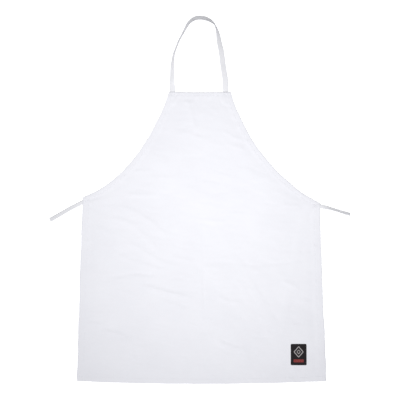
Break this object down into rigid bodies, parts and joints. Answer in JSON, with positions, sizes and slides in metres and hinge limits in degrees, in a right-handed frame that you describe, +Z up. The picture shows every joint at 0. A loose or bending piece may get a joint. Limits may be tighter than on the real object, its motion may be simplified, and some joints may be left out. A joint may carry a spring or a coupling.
{
  "type": "butcher apron",
  "caption": "White cloth bib apron laid flat: folding bib and skirt, stitched hems, twisted neck strap loop, waist ties folded away behind the skirt, small woven label.",
  "frame": {"origin": "on the table under the middle of the laid-out apron's footprint, straps included, close to the middle of the waist line", "axes": "+Z up, out of the apron's face as it lies on its back; +Y towards the neck; +X towards the side with the label"},
  "size_m": [0.8923, 1.0905, 0.0162],
  "materials": {
    "apron_twill": "white cotton and polyester twill, matte",
    "tape": "white herringbone twill tape, matte",
    "thread": "white polyester sewing thread, slight sheen",
    "label_weave": "black damask weave, slight sheen",
    "emblem_yarn": "pale grey and red yarn, slight sheen",
    "label_thread": "black sewing thread"
  },
  "bodies": {
    "skirt": {"skirt_panel": "apron_twill", "bottom_hem": "apron_twill", "left_side_hem": "apron_twill", "right_side_hem": "apron_twill", "left_tie_end": "tape", "right_tie_end": "tape", "left_tie_tail": "tape", "right_tie_tail": "tape", "label": "label_weave", "label_emblem": "emblem_yarn", "label_stitching": "label_thread", "left_side_stitching": "thread", "right_side_stitching": "thread", "bottom_hem_stitching": "thread", "left_tie_tack": "thread", "right_tie_tack": "thread"},
    "bib": {"bib_panel": "apron_twill", "top_hem": "apron_twill", "left_armhole_hem": "apron_twill", "right_armhole_hem": "apron_twill", "neck_strap_left_end": "tape", "neck_strap_right_end": "tape", "top_hem_stitching": "thread", "left_armhole_stitching": "thread", "right_armhole_stitching": "thread", "left_strap_tack": "thread", "right_strap_tack": "thread"},
    "neck_loop": {"neck_strap": "tape"},
    "left_tie_stub": {"left_tie": "tape"},
    "right_tie_stub": {"right_tie": "tape"}
  },
  "joints": [
    {"name": "bib_fold", "type": "hinge", "parent": "skirt", "child": "bib", "pos_m": [0, 0.01, 0.0018], "axis": [1, 0, 0], "range_deg": [0, 130]},
    {"name": "neck_loop_fold", "type": "hinge", "parent": "bib", "child": "neck_loop", "pos_m": [0, 0.3205, 0.0018], "axis": [1, 0, 0], "range_deg": [0, 160]},
    {"name": "left_tie_fold", "type": "hinge", "parent": "skirt", "child": "left_tie_stub", "pos_m": [-0.352, -0.014, 0.0018], "axis": [0, 1, 0], "range_deg": [0, 165]},
    {"name": "right_tie_fold", "type": "hinge", "parent": "skirt", "child": "right_tie_stub", "pos_m": [0.352, -0.014, 0.0018], "axis": [0, -1, 0], "range_deg": [0, 165]}
  ]
}
